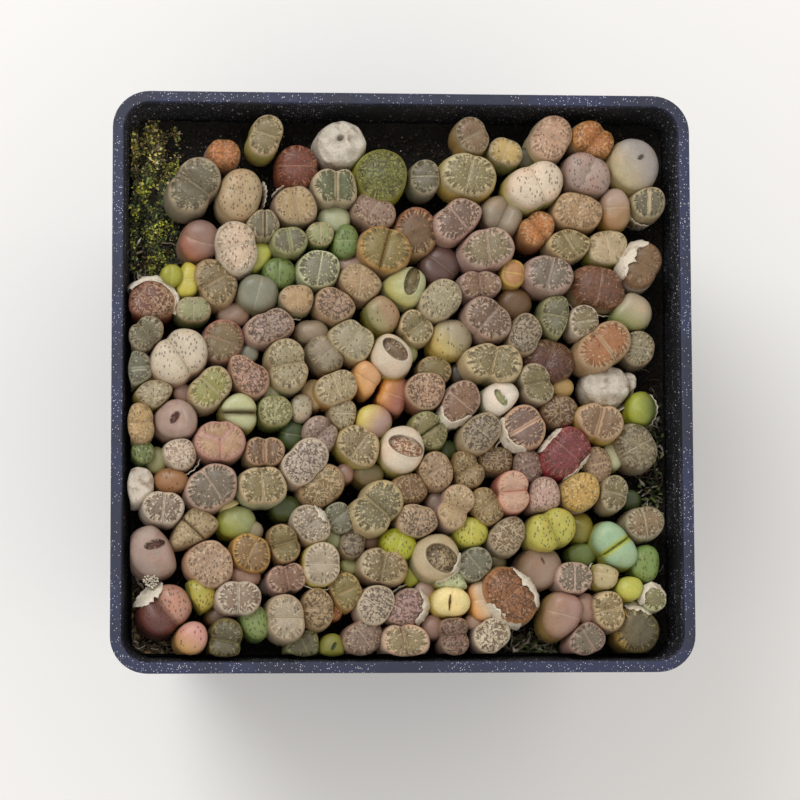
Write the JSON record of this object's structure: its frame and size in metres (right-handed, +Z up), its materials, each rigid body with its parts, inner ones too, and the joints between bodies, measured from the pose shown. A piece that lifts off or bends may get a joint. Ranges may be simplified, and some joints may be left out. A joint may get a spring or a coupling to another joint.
{
  "type": "potted lithops",
  "caption": "Square black nursery pot crowded with seedling lithops, round two-lobed succulents with patterned windowed tops, on dark gritty soil.",
  "frame": {"origin": "middle of the pot's underside", "axes": "+Z up out of the pot; +X and +Y square to its sides, with the moss in the -X +Y corner"},
  "size_m": [0.11, 0.11, 0.1023],
  "materials": {
    "pot_plastic": "satin",
    "potting_soil": "matte",
    "moss_mat": "matte",
    "lithops_tan": "satin",
    "lithops_grey": "satin",
    "lithops_green": "satin",
    "lithops_pale": "satin",
    "lithops_red": "satin"
  },
  "bodies": {
    "root": {"pot": "pot_plastic", "soil": "potting_soil", "moss_patch": "moss_mat", "lithops_clump_01": "lithops_green", "lithops_clump_02": "lithops_green", "lithops_clump_03": "lithops_tan", "lithops_clump_04": "lithops_green", "lithops_clump_05": "lithops_pale", "lithops_clump_06": "lithops_grey", "lithops_clump_07": "lithops_tan", "lithops_clump_08": "lithops_green", "lithops_clump_09": "lithops_tan", "lithops_clump_10": "lithops_pale", "lithops_clump_11": "lithops_grey", "lithops_clump_12": "lithops_green", "lithops_clump_13": "lithops_tan", "lithops_clump_14": "lithops_tan", "lithops_clump_15": "lithops_red", "lithops_clump_16": "lithops_red", "lithops_clump_17": "lithops_grey", "lithops_clump_18": "lithops_pale", "lithops_clump_19": "lithops_red", "lithops_clump_20": "lithops_pale", "lithops_clump_21": "lithops_grey", "lithops_clump_22": "lithops_pale", "lithops_clump_23": "lithops_tan", "lithops_clump_24": "lithops_grey", "lithops_clump_25": "lithops_tan", "lithops_clump_26": "lithops_pale", "lithops_clump_27": "lithops_tan", "lithops_clump_28": "lithops_tan", "lithops_clump_29": "lithops_pale", "lithops_clump_30": "lithops_tan", "lithops_clump_31": "lithops_grey", "lithops_clump_32": "lithops_grey", "lithops_clump_33": "lithops_tan", "lithops_clump_34": "lithops_pale", "lithops_clump_35": "lithops_grey", "lithops_clump_36": "lithops_red", "lithops_clump_37": "lithops_tan", "lithops_clump_38": "lithops_red", "lithops_clump_39": "lithops_pale", "lithops_clump_40": "lithops_grey", "lithops_clump_41": "lithops_green", "lithops_clump_42": "lithops_pale", "lithops_clump_43": "lithops_tan", "lithops_clump_44": "lithops_green", "lithops_clump_45": "lithops_green", "lithops_clump_46": "lithops_grey", "lithops_clump_47": "lithops_tan", "lithops_clump_48": "lithops_tan", "lithops_clump_49": "lithops_green", "lithops_clump_50": "lithops_pale", "lithops_clump_51": "lithops_tan", "lithops_clump_52": "lithops_green", "lithops_clump_53": "lithops_red", "lithops_clump_54": "lithops_pale", "lithops_clump_55": "lithops_tan", "lithops_clump_56": "lithops_tan", "lithops_clump_57": "lithops_red"}
  },
  "joints": []
}
